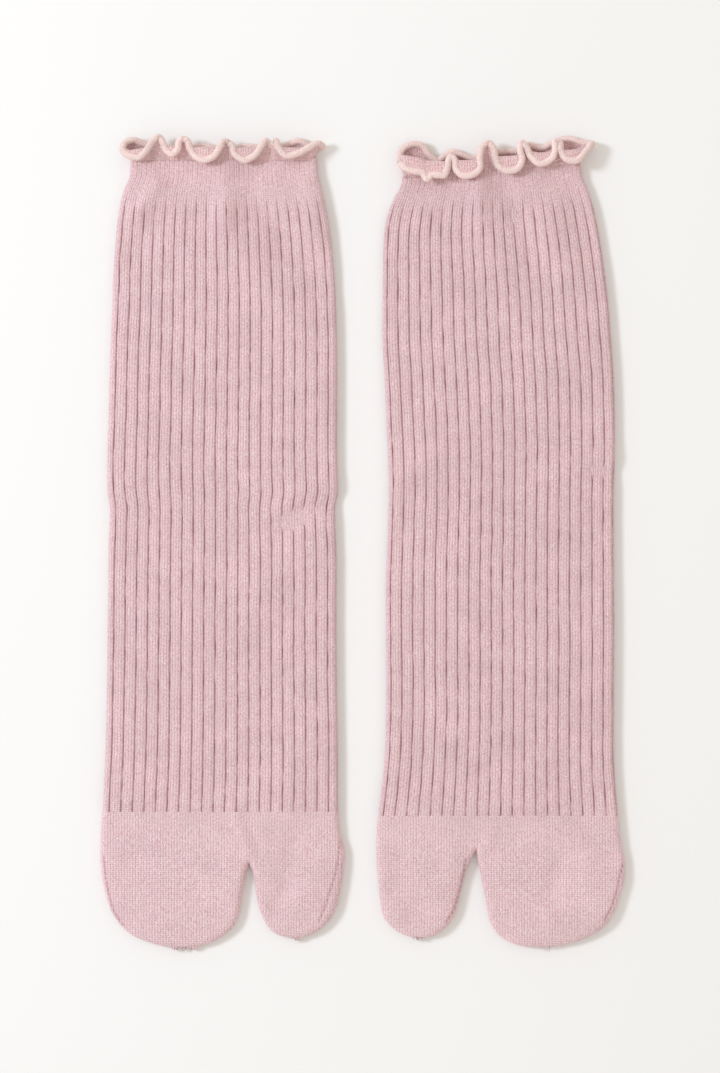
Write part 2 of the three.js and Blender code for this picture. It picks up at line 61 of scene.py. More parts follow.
# at is the place along the sock; left and right are its edges there; slope is rise per millimetre across
rightFoot = {
    "name": "rightFoot",
    "node": "right_foot",
    "place": -54.0,
    "seed": 11,
    "grooveStart": 0.41,
    "cuff": [
        (148.0, -35.5, 36.6, 0.0),
        (144.2, -35.6, 36.8, 0.0),
        (141.0, -35.9, 37.1, 0.0),
        (136.75, -37.7, 38.3, 0.0),
    ],
    "leg": [
        (136.75, -37.7, 38.3, 0.0),
        (131.9, -39.2, 39.4, 0.0),
        (126.1, -40.3, 40.6, 0.0),
        (118.4, -41.1, 41.7, 0.0),
        (108.8, -41.9, 42.8, 0.0),
        (97.2, -42.4, 43.6, 0.0),
        (84.0, -42.9, 44.1, 0.0),
        (68.0, -43.5, 44.3, 0.0),
        (50.0, -44.0, 44.3, 0.0),
        (32.0, -44.5, 44.3, 0.0),
        (25.0, -44.6, 44.5, 0.0),
        (19.5, -44.4, 44.7, 0.0),
        (14.0, -43.5, 43.5, 0.0),
        (8.0, -43.6, 43.6, 0.0),
        (-2.1, -44.0, 44.0, 0.0),
        (-28.7, -44.3, 44.0, 0.0),
        (-56.0, -44.7, 44.2, 0.0),
        (-82.0, -45.3, 44.6, 0.0),
        (-103.7, -46.3, 44.6, 0.0),
    ],
    "toeLine": -103.7,
    # the outline of the wide pocket and of the big toe's pocket, from the toe line to the tip
    "wideOuter": [
        (-46.4, -103.7), (-46.9, -111.8), (-47.1, -117.2), (-47.0, -124.5), (-46.2, -131.0),
        (-44.5, -137.8), (-42.4, -143.2), (-38.4, -148.6), (-33.6, -152.1), (-26.7, -154.7),
        (-20.5, -155.8), (-14.0, -156.1),
    ],
    "wideInner": [
        (10.3, -123.8), (9.2, -127.0), (8.0, -132.8), (7.1, -139.2), (6.2, -144.0),
        (4.2, -148.2), (0.6, -151.4), (-4.3, -154.2), (-9.3, -155.6), (-14.0, -156.1),
    ],
    "bigToeOuter": [
        (44.7, -103.7), (45.0, -109.0), (45.4, -113.0), (46.9, -117.8), (47.1, -121.8),
        (46.3, -129.6), (45.1, -136.1), (43.4, -142.2), (40.0, -147.2), (35.6, -150.6),
        (31.0, -152.1), (26.5, -152.4),
    ],
    "bigToeInner": [
        (10.3, -123.8), (11.6, -127.0), (12.4, -130.5), (13.0, -135.5), (14.4, -141.4),
        (17.5, -148.2), (21.2, -151.2), (26.5, -152.4),
    ],
    "crease": [(5.2, -103.7), (6.4, -108.5), (7.9, -113.8), (9.2, -119.0), (10.3, -123.8)],
    # lines of small slits where each pocket is closed
    "slitLines": [
        [(-45.6, -121.0), (-44.9, -128.0), (-43.6, -135.0), (-41.6, -142.0), (-38.2, -147.2)],
        [(45.3, -115.3), (44.8, -121.1), (43.8, -126.9), (41.3, -135.0), (39.4, -141.1), (37.4, -145.6)],
    ],
    "folds": [
        {"x": -25.0, "y": 138, "toX": -33.0, "toY": 127, "width": 3.2, "height": 1.5},
        {"x": -15.0, "y": 136, "toX": -33.0, "toY": 113, "width": 5.0, "height": -0.9},
        {"x": 1.5, "y": 141, "toX": 1.0, "toY": 124, "width": 4.6, "height": 1.9},
        {"x": 1.0, "y": 124, "toX": 12.0, "toY": 108, "width": 5.8, "height": 1.3},
        {"x": 12.0, "y": 108, "toX": 29.0, "toY": 84, "width": 8.0, "height": 1.1},
        {"x": 29.0, "y": 84, "toX": 33.0, "toY": 64, "width": 8.0, "height": 0.7},
        {"x": 11.0, "y": 134, "toX": 24.0, "toY": 116, "width": 4.0, "height": -1.2},
        {"x": 24.0, "y": 116, "toX": 38.0, "toY": 98, "width": 5.0, "height": -0.9},
        {"x": 33.0, "y": 138, "toX": 36.0, "toY": 118, "width": 3.6, "height": 1.4},
        {"x": -42.0, "y": 23, "toX": -31.0, "toY": 14, "width": 4.6, "height": 1.0},
        {"x": -31.0, "y": 14, "toX": -6.0, "toY": 10, "width": 5.0, "height": 0.5},
        {"x": -25.0, "y": 28, "toX": -16.0, "toY": 22, "width": 4.0, "height": -0.5},
        {"x": 44.0, "y": 17, "toX": 27.0, "toY": 8, "width": 3.2, "height": -1.0},
        {"x": 27.0, "y": 8, "toX": 5.0, "toY": 1, "width": 4.5, "height": -0.7},
        {"x": 41.0, "y": 23, "toX": 26.0, "toY": 17, "width": 4.0, "height": 0.7},
        {"x": 1.0, "y": -5, "toX": 3.0, "toY": -16, "width": 4.0, "height": -0.6},
        {"x": 28.0, "y": 2, "toX": 30.0, "toY": -16, "width": 6.0, "height": 0.6},
        {"x": 25.0, "y": -16, "toX": 34.0, "toY": -30, "width": 5.0, "height": -0.6},
        {"x": 16.0, "y": -38, "toX": 18.0, "toY": -62, "width": 5.0, "height": -0.5},
        {"x": -12.0, "y": -40, "toX": -8.0, "toY": -66, "width": 6.0, "height": 0.5},
        {"x": -28.0, "y": -62, "toX": -18.0, "toY": -98, "width": 6.0, "height": -0.6},
        {"x": 5.5, "y": -106, "toX": 10.5, "toY": -120, "width": 2.2, "height": 0.7},
        {"x": 9.5, "y": -104, "toX": 14.0, "toY": -116, "width": 2.4, "height": -0.4},
        {"x": -37.0, "y": -108, "toX": -33.0, "toY": -124, "width": 6.0, "height": -0.4},
        {"x": 27.5, "y": -114, "toX": 24.0, "toY": -134, "width": 3.6, "height": -0.9},
        {"x": 21.0, "y": -138, "toX": 19.0, "toY": -145, "width": 3.0, "height": -0.6},
        {"x": 28.0, "y": -142, "toX": 38.0, "toY": -126, "width": 4.5, "height": 0.7},
    ],
    "mouthSlope": 0.0,
    # the rolled edge: foot is where the cloth leaves the mouth, then the frill's crest, then the edge
    "frill": [
        (-33.8, -36.8, 151.6, 5.4, -38.0, 150.6, 6.2),
        (-32.6, -35.6, 150.4, 6.6, -35.6, 148.6, 7.4),
        (-30.0, -32.0, 150.8, 7.4, -32.0, 147.9, 8.0),
        (-27.6, -28.4, 151.4, 7.2, -29.0, 150.4, 8.0),
        (-25.8, -25.8, 151.6, 6.2, -26.2, 154.6, 7.0),
        (-24.4, -24.2, 151.4, 5.6, -24.4, 155.8, 6.0),
        (-22.9, -22.6, 151.4, 6.2, -22.5, 153.2, 7.0),
        (-21.6, -21.4, 151.6, 7.0, -21.2, 150.4, 7.8),
        (-19.4, -19.4, 152.0, 7.2, -19.2, 149.2, 8.2),
        (-17.2, -17.4, 151.6, 6.8, -17.2, 150.6, 7.8),
        (-16.2, -16.2, 151.4, 6.0, -16.3, 154.2, 6.8),
        (-15.0, -15.0, 151.2, 5.6, -15.2, 155.0, 6.0),
        (-13.8, -13.6, 151.4, 6.0, -13.4, 154.4, 6.8),
        (-12.6, -12.4, 151.4, 6.8, -12.2, 151.2, 7.6),
        (-10.4, -10.2, 151.4, 7.2, -9.8, 148.0, 8.2),
        (-6.8, -6.8, 151.6, 7.4, -6.6, 146.8, 8.4),
        (-3.0, -3.2, 151.4, 7.2, -3.0, 148.4, 8.2),
        (-0.8, -0.8, 151.2, 6.6, -0.6, 152.2, 7.4),
        (0.6, 0.6, 151.0, 5.8, 0.6, 154.2, 6.2),
        (2.2, 2.2, 150.8, 5.4, 2.4, 153.6, 5.6),
        (3.6, 3.6, 150.8, 6.0, 3.8, 152.6, 6.6),
        (5.0, 5.0, 151.0, 6.8, 4.8, 149.4, 7.8),
        (8.6, 8.6, 151.4, 7.4, 8.8, 146.8, 8.4),
        (12.4, 12.2, 151.2, 7.2, 12.6, 148.6, 8.2),
        (14.6, 14.6, 151.0, 6.6, 15.2, 152.2, 7.4),
        (16.2, 16.2, 151.0, 5.8, 16.8, 154.4, 6.2),
        (18.4, 18.4, 150.8, 5.2, 18.6, 152.8, 5.4),
        (20.4, 20.4, 151.0, 6.0, 20.6, 154.2, 6.6),
        (21.8, 21.8, 151.2, 6.8, 21.8, 151.4, 7.8),
        (24.4, 24.2, 151.4, 7.2, 24.6, 148.6, 8.2),
        (28.0, 28.2, 151.2, 7.0, 28.8, 149.2, 8.0),
        (31.4, 31.8, 151.2, 6.4, 33.0, 151.4, 7.0),
        (34.0, 35.2, 151.4, 5.4, 36.6, 153.4, 5.8),
    ],
    "frillBack": [
        (34.4, 36.6, 151.0, 2.4, 38.6, 152.6, 3.2),
        (31.4, 32.0, 151.6, 1.8, 33.0, 153.0, 1.9),
        (28.6, 29.0, 152.4, 1.8, 29.4, 154.8, 2.2),
        (25.0, 25.4, 151.6, 1.6, 26.0, 153.6, 1.9),
        (19.0, 19.2, 150.6, 1.4, 19.4, 151.4, 1.6),
        (13.0, 13.2, 151.0, 1.6, 13.4, 152.4, 1.9),
        (8.6, 8.8, 151.0, 1.6, 9.0, 152.6, 2.0),
        (3.0, 3.0, 150.4, 1.4, 3.0, 151.2, 1.6),
        (-3.0, -3.0, 150.8, 1.5, -3.0, 152.0, 1.8),
        (-7.0, -7.0, 151.2, 1.6, -7.0, 152.8, 2.0),
        (-13.0, -13.2, 150.6, 1.4, -13.4, 151.6, 1.6),
        (-20.0, -20.2, 150.6, 1.4, -20.6, 151.4, 1.6),
        (-26.0, -26.6, 151.4, 1.6, -27.0, 152.6, 2.0),
        (-30.0, -31.6, 152.6, 2.0, -31.4, 154.0, 2.6),
        (-32.4, -34.4, 153.0, 2.8, -34.0, 155.0, 3.6),
        (-33.8, -36.6, 152.4, 4.2, -37.6, 153.4, 5.0),
    ],
}

leftFoot = {
    "name": "leftFoot",
    "node": "left_foot",
    "place": 53.0,
    "seed": 23,
    "grooveStart": 0.2,
    "cuff": [
        (144.2, -37.8, 31.2, 0.078),
        (141.2, -38.0, 31.5, 0.066),
        (138.8, -38.6, 31.9, 0.054),
        (135.95, -40.0, 33.4, 0.043),
    ],
    "leg": [
        (135.95, -40.0, 33.4, 0.043),
        (129.9, -42.6, 35.6, 0.03),
        (122.4, -44.3, 37.5, 0.015),
        (112.5, -45.0, 39.3, 0.0),
        (103.0, -45.1, 40.6, 0.0),
        (92.0, -45.3, 41.9, 0.0),
        (78.7, -45.3, 42.9, 0.0),
        (64.0, -44.5, 44.0, 0.0),
        (48.0, -43.8, 44.4, 0.0),
        (32.0, -43.1, 44.4, 0.0),
        (20.0, -42.9, 44.0, 0.0),
        (7.0, -43.2, 44.0, 0.0),
        (-12.0, -43.9, 44.1, 0.0),
        (-38.0, -43.9, 44.2, 0.0),
        (-64.0, -43.8, 44.0, 0.0),
        (-86.0, -44.7, 44.2, 0.0),
        (-105.2, -46.9, 45.6, 0.0),
    ],
    "toeLine": -105.2,
    "wideOuter": [
        (45.7, -105.2), (46.3, -112.2), (47.0, -117.4), (48.0, -121.6), (48.2, -125.0),
        (48.0, -130.3), (46.8, -134.6), (44.2, -142.3), (41.2, -147.2), (37.3, -150.4),
        (31.0, -153.4), (23.4, -155.3), (15.2, -156.1),
    ],
    "wideInner": [
        (-9.2, -118.6), (-8.4, -123.2), (-7.2, -129.2), (-5.6, -137.0), (-4.1, -145.0),
        (-2.0, -149.7), (1.9, -153.1), (7.3, -155.3), (15.2, -156.1),
    ],
    "bigToeOuter": [
        (-47.0, -105.2), (-47.5, -111.2), (-47.7, -119.0), (-47.3, -126.2), (-46.8, -131.0),
        (-46.1, -138.4), (-44.7, -144.6), (-41.6, -148.4), (-38.2, -150.8), (-34.2, -152.0),
        (-29.7, -152.4),
    ],
    "bigToeInner": [
        (-9.2, -118.6), (-11.4, -122.8), (-13.6, -128.6), (-15.4, -135.6), (-17.0, -142.4),
        (-20.0, -147.6), (-24.4, -151.2), (-29.7, -152.4),
    ],
    "crease": [(-4.6, -105.2), (-5.4, -108.6), (-6.6, -112.0), (-7.8, -115.2), (-9.2, -118.6)],
    "slitLines": [
        [(-13.3, -122.2), (-14.2, -128.0), (-16.0, -135.5), (-18.3, -142.2), (-20.6, -146.0)],
        [(47.2, -124.6), (46.0, -128.8), (44.7, -135.0), (42.7, -140.7), (40.2, -145.4)],
    ],
    "folds": [
        {"x": -8.5, "y": 139, "toX": -8.0, "toY": 122, "width": 4.0, "height": 1.9},
        {"x": -19.0, "y": 136, "toX": -24.0, "toY": 126, "width": 3.4, "height": -0.9},
        {"x": -28.0, "y": 138, "toX": -40.0, "toY": 122, "width": 5.0, "height": -0.9},
        {"x": 1.5, "y": 137, "toX": 6.0, "toY": 126, "width": 3.6, "height": -1.1},
        {"x": 6.0, "y": 126, "toX": 13.0, "toY": 106, "width": 3.6, "height": -0.9},
        {"x": 13.0, "y": 138, "toX": 25.0, "toY": 108, "width": 6.0, "height": 1.3},
        {"x": -1.0, "y": 118, "toX": 2.0, "toY": 96, "width": 6.0, "height": 0.5},
        {"x": 28.0, "y": 136, "toX": 35.0, "toY": 112, "width": 3.6, "height": -0.8},
        {"x": -38.0, "y": 100, "toX": -38.0, "toY": 74, "width": 6.0, "height": -0.5},
        {"x": -41.0, "y": 20, "toX": -24.0, "toY": 36, "width": 5.0, "height": 0.9},
        {"x": -24.0, "y": 36, "toX": 12.0, "toY": 39, "width": 6.0, "height": 0.6},
        {"x": -30.0, "y": 18, "toX": -2.0, "toY": 22, "width": 9.0, "height": -0.5},
        {"x": 43.0, "y": 27, "toX": 36.0, "toY": 28, "width": 3.2, "height": -0.8},
        {"x": 42.0, "y": 34, "toX": 34.0, "toY": 37, "width": 4.0, "height": 0.7},
        {"x": -26.0, "y": -24, "toX": -20.0, "toY": -40, "width": 6.0, "height": -0.4},
        {"x": -30.0, "y": -56, "toX": -31.0, "toY": -90, "width": 5.0, "height": -0.8},
        {"x": 40.0, "y": -20, "toX": 38.0, "toY": -60, "width": 6.0, "height": 0.3},
        {"x": -38.0, "y": -120, "toX": -39.0, "toY": -132, "width": 4.0, "height": -0.7},
        {"x": -32.0, "y": -138, "toX": -29.0, "toY": -142, "width": 3.0, "height": -0.5},
        {"x": -17.0, "y": -118, "toX": -22.0, "toY": -138, "width": 4.0, "height": 0.5},
        {"x": -2.0, "y": -112, "toX": -8.5, "toY": -119, "width": 2.2, "height": 0.6},
        {"x": 22.5, "y": -124, "toX": 20.5, "toY": -137, "width": 4.0, "height": -0.9},
        {"x": 33.0, "y": -124, "toX": 38.0, "toY": -143, "width": 5.0, "height": 0.7},
    ],
    "mouthSlope": 0.085,
    "frill": [
        (-36.4, -39.2, 148.6, 5.0, -38.4, 146.2, 6.0),
        (-35.6, -37.0, 148.4, 6.6, -36.4, 143.6, 7.6),
        (-33.4, -33.6, 147.8, 7.4, -33.4, 142.6, 8.2),
        (-30.8, -30.6, 147.2, 7.4, -30.2, 141.8, 8.4),
        (-29.0, -28.8, 146.6, 7.2, -28.2, 139.6, 8.6),
        (-27.6, -27.2, 146.4, 7.2, -26.6, 140.8, 8.4),
        (-24.4, -24.4, 146.2, 7.4, -24.0, 141.0, 8.4),
        (-21.4, -21.6, 146.0, 7.4, -21.8, 141.0, 8.4),
        (-20.2, -20.4, 146.2, 6.8, -20.6, 143.4, 8.0),
        (-19.4, -19.6, 146.6, 6.0, -19.8, 147.0, 7.0),
        (-18.6, -18.6, 146.8, 5.6, -18.9, 148.4, 6.2),
        (-17.8, -17.6, 146.8, 6.0, -17.8, 147.0, 7.0),
        (-16.8, -16.4, 146.6, 6.8, -17.0, 143.2, 8.0),
        (-15.0, -14.8, 146.4, 7.4, -15.2, 141.2, 8.4),
        (-10.8, -10.8, 146.6, 7.4, -10.6, 141.2, 8.4),
        (-8.8, -9.0, 147.2, 6.8, -8.2, 143.2, 8.0),
        (-7.8, -8.0, 148.2, 6.2, -7.8, 148.2, 7.2),
        (-6.4, -6.6, 149.4, 5.8, -6.6, 152.4, 6.4),
        (-4.6, -4.8, 149.8, 5.4, -4.6, 153.6, 5.8),
        (-3.4, -3.4, 149.2, 5.8, -3.0, 152.0, 6.8),
        (-2.8, -2.6, 148.4, 6.8, -2.0, 148.0, 7.8),
        (-1.6, -1.4, 148.0, 7.4, -0.8, 144.6, 8.4),
        (2.6, 2.4, 148.0, 7.6, 2.6, 142.6, 8.6),
        (6.6, 6.2, 148.4, 7.4, 6.8, 143.8, 8.4),
        (8.4, 8.0, 149.2, 6.8, 8.2, 147.0, 8.0),
        (8.0, 7.4, 150.2, 6.0, 7.6, 151.2, 7.0),
        (8.6, 8.2, 150.6, 5.6, 8.2, 153.6, 6.2),
        (10.0, 9.6, 150.4, 5.8, 9.8, 152.0, 6.8),
        (11.6, 11.4, 149.8, 6.8, 11.6, 148.2, 7.8),
        (14.8, 14.6, 149.4, 7.4, 15.2, 145.4, 8.4),
        (18.6, 18.2, 149.6, 7.2, 19.4, 147.2, 8.2),
        (20.0, 19.8, 150.2, 6.6, 21.0, 150.6, 7.4),
        (20.8, 20.8, 150.8, 5.8, 21.4, 154.2, 6.4),
        (21.8, 21.8, 150.8, 5.8, 22.4, 154.0, 6.4),
        (22.8, 22.8, 150.6, 6.6, 23.2, 150.4, 7.4),
        (25.0, 24.8, 150.4, 7.2, 25.2, 147.2, 8.2),
        (28.0, 28.0, 150.6, 7.2, 28.8, 146.6, 8.2),
        (29.8, 30.4, 151.2, 6.4, 32.0, 149.4, 7.0),
        (30.4, 32.2, 152.0, 5.2, 34.6, 152.8, 5.6),
    ],
    "frillBack": [
        (30.4, 33.2, 151.6, 2.6, 35.4, 153.4, 3.6),
        (28.0, 29.6, 152.6, 2.0, 31.6, 154.2, 2.2),
        (24.0, 25.2, 153.4, 2.0, 26.6, 155.6, 2.2),
        (20.0, 20.8, 152.6, 1.8, 21.8, 154.6, 2.0),
        (15.0, 15.4, 151.0, 1.6, 15.8, 152.0, 1.7),
        (10.6, 10.8, 150.8, 1.8, 10.4, 153.0, 2.4),
        (8.6, 9.2, 150.2, 1.6, 9.6, 151.4, 1.9),
        (4.0, 4.0, 149.4, 1.6, 4.0, 150.8, 1.8),
        (0.0, 0.0, 149.0, 1.5, 0.0, 150.4, 1.7),
        (-5.0, -5.0, 148.4, 1.4, -5.0, 149.4, 1.6),
        (-11.0, -11.0, 147.6, 1.4, -11.0, 148.2, 1.6),
        (-15.4, -15.4, 148.2, 1.8, -15.8, 149.8, 2.4),
        (-17.6, -17.6, 148.6, 2.0, -18.2, 150.6, 2.8),
        (-20.6, -20.4, 147.6, 1.7, -21.0, 149.2, 2.2),
        (-24.0, -23.8, 146.6, 1.5, -24.2, 147.4, 1.8),
        (-28.0, -27.6, 148.0, 1.8, -27.6, 149.8, 2.2),
        (-31.4, -31.0, 150.4, 2.4, -30.0, 152.8, 3.0),
        (-34.0, -34.2, 151.2, 3.2, -33.6, 153.4, 4.0),
        (-36.0, -38.0, 150.6, 4.2, -38.0, 150.8, 5.2),
    ],
}

socks = [rightFoot, leftFoot]
# the tip rows are 156 mm from the middle of the pair, and the frame says where that is
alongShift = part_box("right_foot_toe")[0].y / mm + 156.0


# ---------- small helpers ----------

def cubicThrough(places, values, where):
    order = np.argsort(places)
    p, v = np.asarray(places, float)[order], np.asarray(values, float)[order]
    slopes = np.gradient(v, p)
    where = np.clip(where, p[0], p[-1])
    k = np.clip(np.searchsorted(p, where) - 1, 0, len(p) - 2)
    span = p[k + 1] - p[k]
    t = (where - p[k]) / span
    return (
        (2 * t**3 - 3 * t**2 + 1) * v[k]
        + (t**3 - 2 * t**2 + t) * span * slopes[k]
        + (3 * t**2 - 2 * t**3) * v[k + 1]
        + (t**3 - t**2) * span * slopes[k + 1]
    )


def curveThrough(points, shares):  # evenly spaced along its length, 0 to 1
    pts = np.asarray(points, float)
    steps = np.linalg.norm(np.diff(pts, axis=0), axis=1) ** 0.5
    knots = np.concatenate([[0], np.cumsum(steps)])
    fine = np.linspace(0, knots[-1], 40 * len(pts))
    dense = np.stack([cubicThrough(knots, pts[:, c], fine) for c in range(pts.shape[1])], 1)
    run = np.concatenate([[0], np.cumsum(np.linalg.norm(np.diff(dense, axis=0), axis=1))])
    return np.stack([np.interp(np.asarray(shares) * run[-1], run, dense[:, c])
                     for c in range(pts.shape[1])], 1)


def wander(rng, waves, lowest, highest):  # a soft random wave, about -1 to 1
    spin = rng.uniform(0, 2 * np.pi, waves)
    pitch = rng.uniform(lowest, highest, waves)
    size = rng.uniform(0.4, 1.0, waves)
    size /= size.sum() * 0.6
    return lambda v: sum(s * np.sin(v * 2 * np.pi / w + a) for s, w, a in zip(size, pitch, spin))


def foldHeight(folds, x, y):
    rise = np.zeros_like(x)
    for fold in folds:
        ax, ay = fold["toX"] - fold["x"], fold["toY"] - fold["y"]
        t = np.clip(((x - fold["x"]) * ax + (y - fold["y"]) * ay) / (ax**2 + ay**2), 0, 1)
        d2 = (x - fold["x"] - t * ax) ** 2 + (y - fold["y"] - t * ay) ** 2
        rise = rise + fold["height"] * np.exp(-d2 / fold["width"] ** 2)
    return rise


def meshPiece(name, points, faces, uvs, grooveShade, material, smooth=True):
    mesh = bpy.data.meshes.new(name)
    mesh.from_pydata((np.asarray(points) * mm).tolist(), [], faces)
    if uvs is not None:
        layer = mesh.uv_layers.new(name="knit")
        loops = np.empty(len(mesh.loops), int)
        mesh.loops.foreach_get("vertex_index", loops)
        layer.data.foreach_set("uv", np.asarray(uvs, float)[loops].astype(np.float32).ravel())
    # the groove attribute is a painted shade mask: how far each point is sunk in a groove or slit, which
    # darkens its colour
    shade = mesh.attributes.new("groove", "FLOAT", "POINT")
    shade.data.foreach_set("value", np.asarray(grooveShade, np.float32))
    mesh.materials.append(material)
    mesh.polygons.foreach_set("use_smooth", [smooth] * len(mesh.polygons))
    mesh.update()
    piece = bpy.data.objects.new(name, mesh)
    bpy.context.scene.collection.objects.link(piece)
    return piece


def applyAll(piece):
    bpy.context.view_layer.objects.active = piece
    piece.select_set(True)
    for modifier in list(piece.modifiers):
        bpy.ops.object.modifier_apply(modifier=modifier.name)
    piece.select_set(False)


# ---------- ribbed tubes: leg and cuff ----------

# Point of a flat section at share q of the way round, 0 and 1 under the middle, 0.5 on top of it
def sectionPoint(left, right, lift, inset, q):
    radius = sideRound - inset
    flat = (right - left) / 2 - sideRound
    length = 2 * flat + math.pi * sideRound
    s = (q - 0.5) * 2 * length
    side = np.where(s < 0, -1.0, 1.0)
    a = np.abs(s)
    angle = np.clip((a - flat) / sideRound, 0, math.pi)
    under = np.maximum(a - flat - math.pi * sideRound, 0)
    offset = np.minimum(a, flat) + radius * np.sin(angle) - under
    high = layHeight / 2 + (layHeight / 2 - inset) * np.cos(angle)
    upperShare = np.clip(np.cos(angle), 0, 1) ** 0.8
    x = (left + right) / 2 + side * offset
    z = high + lift(x) * upperShare
    return x, z, side * np.sin(angle), np.cos(angle)


legShape = {
    "ribs": 42,
    "columns": (0.0, 0.065, 0.16, 0.32, 0.5, 0.68, 0.84, 0.935),  # across one rib, groove at 0
    "relief": (1.0, 0.42, 0.12, 0.03, 0.0, 0.03, 0.12, 0.42),  # share of the groove's depth there
    "groove": 0.62,
    # dark scales the painted shade laid into the grooves
    "dark": 1.0,
    "fade": 9.0,  # the grooves start this far under the cuff
    "rows": 236,
    "innerRows": 12,
    "wander": 0.10,  # sideways drift of a groove, in millimetres
}

cuffShape = {
    "ribs": 84,
    "columns": (0.0, 0.25, 0.5, 0.75),
    "relief": (1.0, 0.35, 0.0, 0.35),
    "groove": 0.16,
    # dark scales the painted shade laid into the grooves
    "dark": 0.25,
    "fade": 0.0,
    "rows": 26,
    "innerRows": 5,
    "wander": 0.12,
}


def ribTube(sock, table, shape, pieceName, material, startCourse):
    rng = np.random.default_rng(sock["seed"] + shape["ribs"])
    table = np.array(table)
    top, bottom = table[0, 0], table[-1, 0]
    perRib = len(shape["columns"])
    count = shape["ribs"] * perRib
    rib = np.repeat(np.arange(shape["ribs"]), perRib)
    q = (rib + sock["grooveStart"] + np.tile(shape["columns"], shape["ribs"])) / shape["ribs"]
    relief = np.tile(shape["relief"], shape["ribs"])
    wales = (rib + np.tile(shape["columns"], shape["ribs"])) * 168 / shape["ribs"]
    waves = [wander(rng, 4, 9, 60) for _ in range(shape["ribs"])]
    dips = [wander(rng, 5, 2.5, 22) for _ in range(shape["ribs"])]
    loops, uv, grooveShade = [], [], []

    def loopAt(at, inset, carve):
        left = cubicThrough(table[:, 0], table[:, 1], at)
        right = cubicThrough(table[:, 0], table[:, 2], at)
        slope = cubicThrough(table[:, 0], table[:, 3], at)
        round_ = 2 * (right - left - 2 * sideRound) + 2 * math.pi * sideRound
        drift = np.array([w(at) for w in waves])[rib] * shape["wander"] / round_
        lift = lambda x: foldHeight(sock["folds"], x, at + slope * x)
        x, z, nx, nz = sectionPoint(left, right, lift, inset, (q + drift) % 1.0)
        if carve:
            fade = np.clip((136.0 - at) / shape["fade"], 0, 1) ** 1.5 if shape["fade"] else 1.0
            depth = np.array([1 + 0.35 * d(at) for d in dips])[rib]
            share = relief * np.clip(depth, 0.25, 1.7) * fade
            x, z = x - nx * shape["groove"] * share, z - nz * shape["groove"] * share
            # painted shade: the carve share, times dark, also darkens the colour in the groove
            grooveShade.append(share * shape["dark"])
        else:
            grooveShade.append(np.zeros(count))
        return np.stack([x, at + slope * x + 0 * x, z], 1)

    outerAt = np.linspace(top, bottom, shape["rows"] + 1)
    innerAt = np.linspace(bottom, top, shape["innerRows"] + 1)
    for at in outerAt:
        loops.append(loopAt(at, 0.0, True))
        uv.append(np.stack([wales, np.full(count, startCourse + (top - at) / course)], 1))
    for at in innerAt:
        loops.append(loopAt(at, shellWall, False))
        uv.append(np.stack([wales, np.full(count, startCourse + (top - at) / course)], 1))
    points = np.concatenate(loops)
    points[:, 0] += sock["place"]
    points[:, 1] += alongShift
    rings = len(loops)
    faces = []
    for k in range(rings):
        a, b = k * count, ((k + 1) % rings) * count
        faces += [(a + i, b + i, b + (i + 1) % count, a + (i + 1) % count) for i in range(count)]
    uvs = np.concatenate(uv)
    piece = meshPiece(pieceName, points, faces, uvs, np.concatenate(grooveShade), material)
    fixSeamUv(piece, 168)
    crispEdges(piece)
    return piece


def crispEdges(piece):  # smooth everywhere but round a rim
    bpy.context.view_layer.objects.active = piece
    piece.select_set(True)
    bpy.ops.object.shade_smooth_by_angle(angle=math.radians(75))
    piece.select_set(False)


def fixSeamUv(piece, period):  # the face that closes the round keeps its wales in order
    layer = piece.data.uv_layers[0].data
    data = np.empty(len(layer) * 2, np.float32)
    layer.foreach_get("uv", data)
    quads = data.reshape(-1, 4, 2)
    span = quads[:, :, 0].max(1) - quads[:, :, 0].min(1)
    wrapped = span > period / 2
    low = quads[:, :, 0] < quads[:, :, 0].max(1, keepdims=True) - period / 2
    quads[:, :, 0] += np.where(wrapped[:, None] & low, period, 0)
    layer.foreach_set("uv", quads.ravel())


# ---------- the toe ----------

toeShape = {
    "creaseRows": 26,
    "pocketRows": 74,
    "wideColumns": 96,
    "bigToeColumns": 64,
    "edgeRound": 2.6,
    "swell": 0.35,
    "slitDepth": 0.55,
    "slitWidth": 0.42,
    "slitPitch": 2.1,
}


def outlineDistance(x, y, outline):
    best = np.full(x.shape, 1e9)
    for (ax, ay), (bx, by) in zip(outline[:-1], outline[1:]):
        dx, dy = bx - ax, by - ay
        t = np.clip(((x - ax) * dx + (y - ay) * dy) / (dx * dx + dy * dy + 1e-12), 0, 1)
        best = np.minimum(best, (x - ax - t * dx) ** 2 + (y - ay - t * dy) ** 2)
    return np.sqrt(best)


def alongLines(x, y, lines):  # distance to the nearest line and how far along it that is
    best, run = np.full(x.shape, 1e9), np.zeros(x.shape)
    for line in lines:
        start = 0.0
        for (ax, ay), (bx, by) in zip(line[:-1], line[1:]):
            dx, dy = bx - ax, by - ay
            size = math.hypot(dx, dy)
            t = np.clip(((x - ax) * dx + (y - ay) * dy) / size**2, 0, 1)
            d = np.hypot(x - ax - t * dx, y - ay - t * dy)
            run = np.where(d < best, start + t * size, run)
            best = np.minimum(best, d)
            start += size
    return best, run


